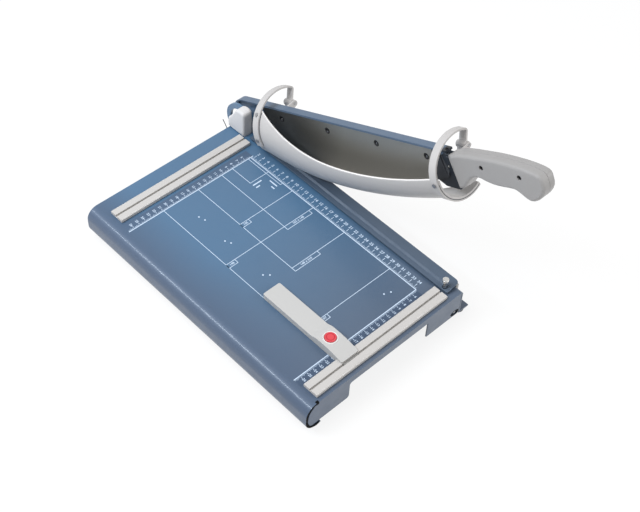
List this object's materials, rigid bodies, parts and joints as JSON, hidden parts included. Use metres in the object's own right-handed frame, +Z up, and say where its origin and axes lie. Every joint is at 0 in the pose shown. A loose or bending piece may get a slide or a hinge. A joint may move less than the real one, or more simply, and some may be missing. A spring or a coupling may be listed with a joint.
{
  "type": "guillotine paper cutter",
  "caption": "Lever paper cutter: folded sheet-steel table with stop rails, sliding backstop, press bar, counter knife, and a curved blade on a hinged arm inside a swinging guard.",
  "frame": {"origin": "on the desk, below the middle of the whole cutter's bounding box with the arm raised", "axes": "+X towards the cutting line at the right edge, +Y towards the pivot at the back, +Z up; the operator stands at -Y"},
  "size_m": [0.3294, 0.5502, 0.3194],
  "materials": {
    "table_paint": "satin blue powder coat",
    "blade_steel": "ground, darkened",
    "ground_steel": "ground",
    "zinc_steel": "bright zinc",
    "dark_screw": "black oxide",
    "guard_plastic": "light grey moulding",
    "cap_plastic": "light grey moulding",
    "handle_plastic": "mid grey moulding",
    "rail_plastic": "pale grey strip",
    "stop_plastic": "off-white moulding",
    "button_plastic": "red button",
    "foot_rubber": "matt dark rubber"
  },
  "bodies": {
    "base": {"back_rail": "rail_plastic", "base_sheet": "table_paint", "bracket_bolt_1": "zinc_steel", "bracket_bolt_2": "zinc_steel", "clamp_nut": "zinc_steel", "clamp_screw": "zinc_steel", "counter_knife": "ground_steel", "foot_left_back": "foot_rubber", "foot_left_front": "foot_rubber", "foot_right_back": "foot_rubber", "foot_right_front": "foot_rubber", "friction_washer": "ground_steel", "front_rail": "rail_plastic", "knife_screw_1": "zinc_steel", "knife_screw_2": "zinc_steel", "knife_screw_3": "zinc_steel", "knife_screw_4": "zinc_steel", "pivot_bolt": "zinc_steel", "pivot_bracket": "table_paint", "pivot_cap": "cap_plastic", "pivot_nut": "zinc_steel", "rail_screw_back_1": "zinc_steel", "rail_screw_back_2": "zinc_steel", "rail_screw_front_1": "zinc_steel", "rail_screw_front_2": "zinc_steel", "spring_washer_1": "ground_steel", "spring_washer_2": "ground_steel"},
    "arm": {"arm_bar": "table_paint", "blade": "blade_steel", "blade_screw_1": "zinc_steel", "blade_screw_2": "zinc_steel", "blade_screw_3": "zinc_steel", "blade_screw_4": "zinc_steel", "guard_bracket_back": "guard_plastic", "guard_bracket_front": "guard_plastic", "guard_pin_back": "zinc_steel", "guard_pin_front": "zinc_steel", "handle_left": "handle_plastic", "handle_right": "handle_plastic", "handle_screw_1": "dark_screw", "handle_screw_2": "dark_screw"},
    "guard": {"guard_hoop_back": "guard_plastic", "guard_hoop_front": "guard_plastic", "guard_shell": "guard_plastic", "strap_screw_back_1": "zinc_steel", "strap_screw_back_2": "zinc_steel", "strap_screw_front_1": "zinc_steel", "strap_screw_front_2": "zinc_steel"},
    "press_bar": {"press_bar": "table_paint"},
    "backstop": {"backstop": "stop_plastic", "backstop_shoe": "ground_steel", "button_spring": "ground_steel"},
    "stop_button": {"stop_button": "button_plastic"}
  },
  "joints": [
    {"name": "arm_swing", "type": "hinge", "parent": "base", "child": "arm", "pos_m": [0.12483, 0.23357, 0.067], "axis": [1, 0, 0], "range_deg": [0, 24]},
    {"name": "guard_swing", "type": "hinge", "parent": "arm", "child": "guard", "pos_m": [0.15532, 0.24012, 0.08127], "axis": [0, 0.9089, -0.4171], "range_deg": [0, 87.5]},
    {"name": "press_slide", "type": "slide", "parent": "base", "child": "press_bar", "axis": [0, 0, -1], "range_m": [0, 0.0022]},
    {"name": "stop_slide", "type": "slide", "parent": "base", "child": "backstop", "axis": [1, 0, 0], "range_m": [-0.05, 0.12]},
    {"name": "button_press", "type": "slide", "parent": "backstop", "child": "stop_button", "axis": [0, 0, -1], "range_m": [0, 0.002], "stiffness_N_per_m": 400, "springref_m": -0.0015}
  ],
  "couplings": [
    {"joint": "guard_swing", "follows": "arm_swing", "ratio": 3.6},
    {"joint": "press_slide", "follows": "arm_swing", "m_per_rad": 0.005}
  ]
}
